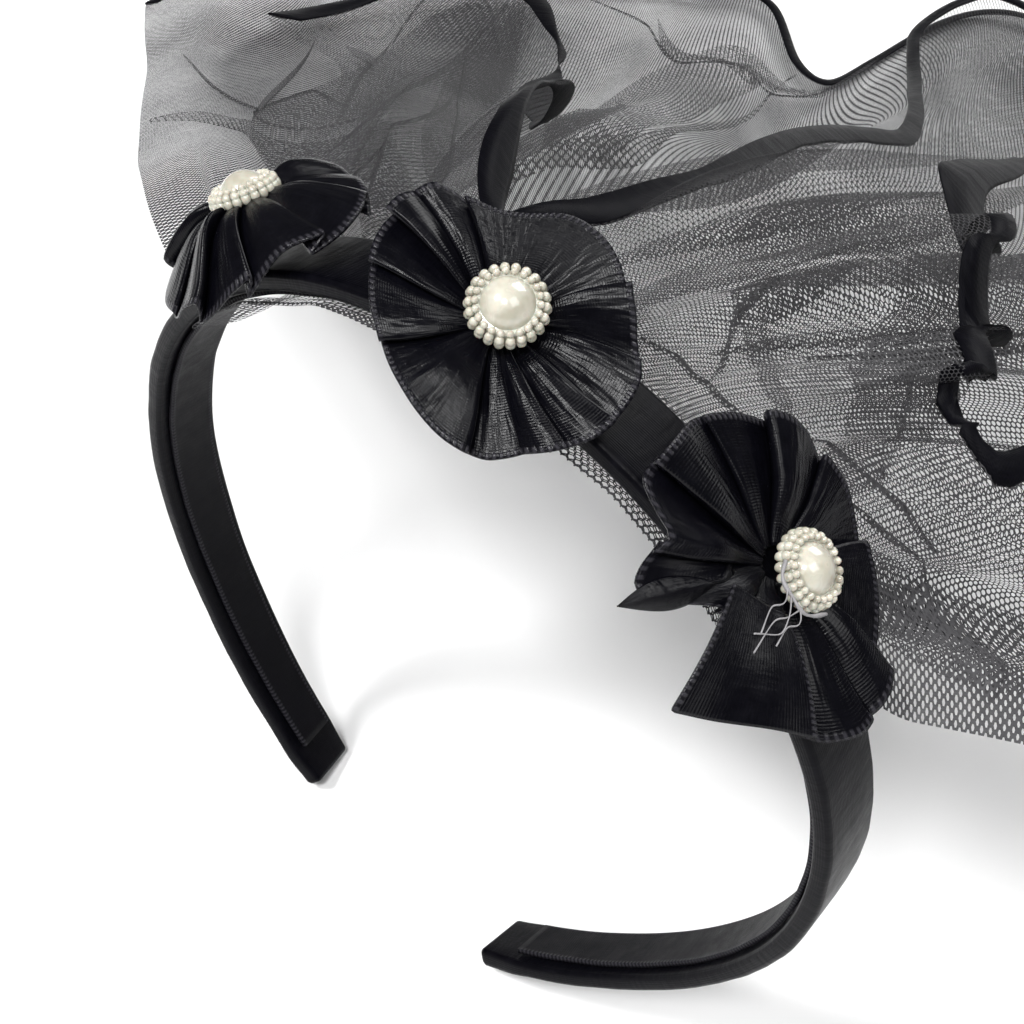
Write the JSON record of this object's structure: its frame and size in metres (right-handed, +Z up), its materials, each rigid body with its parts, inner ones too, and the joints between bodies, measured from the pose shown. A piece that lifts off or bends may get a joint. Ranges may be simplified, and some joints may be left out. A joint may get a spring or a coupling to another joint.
{
  "type": "veiled headband",
  "caption": "Satin covered headband with pleated ribbon rosettes, pearl cabochons and a tiered net veil with ribbon bound hems, standing on its tips.",
  "frame": {"origin": "on the floor under the middle of the whole's box, behind the band", "axes": "+X to the right of someone who faces the front, -Y the front, +Z up"},
  "size_m": [0.5736, 0.4046, 0.1584],
  "materials": {
    "headband": "black satin ribbon wrap",
    "band_lining": "black lining ribbon",
    "rosette_left": "black pleated satin ribbon",
    "rosette_middle": "black pleated satin ribbon",
    "rosette_right": "black pleated satin ribbon",
    "ribbon_tail": "black satin ribbon, raw cut end",
    "pearl_left": "pearlescent cream",
    "pearl_middle": "pearlescent cream",
    "pearl_right": "pearlescent cream",
    "veil_lower": "black open net",
    "veil_upper": "black open net",
    "hem_ribbon_lower": "black satin binding",
    "hem_ribbon_upper": "black satin binding"
  },
  "bodies": {
    "root": {"headband": "headband", "band_lining": "band_lining", "rosette_left": "rosette_left", "rosette_middle": "rosette_middle", "rosette_right": "rosette_right", "ribbon_tail": "ribbon_tail", "pearl_left": "pearl_left", "pearl_middle": "pearl_middle", "pearl_right": "pearl_right", "veil_lower": "veil_lower", "veil_upper": "veil_upper", "hem_ribbon_lower": "hem_ribbon_lower", "hem_ribbon_upper": "hem_ribbon_upper"}
  },
  "joints": []
}
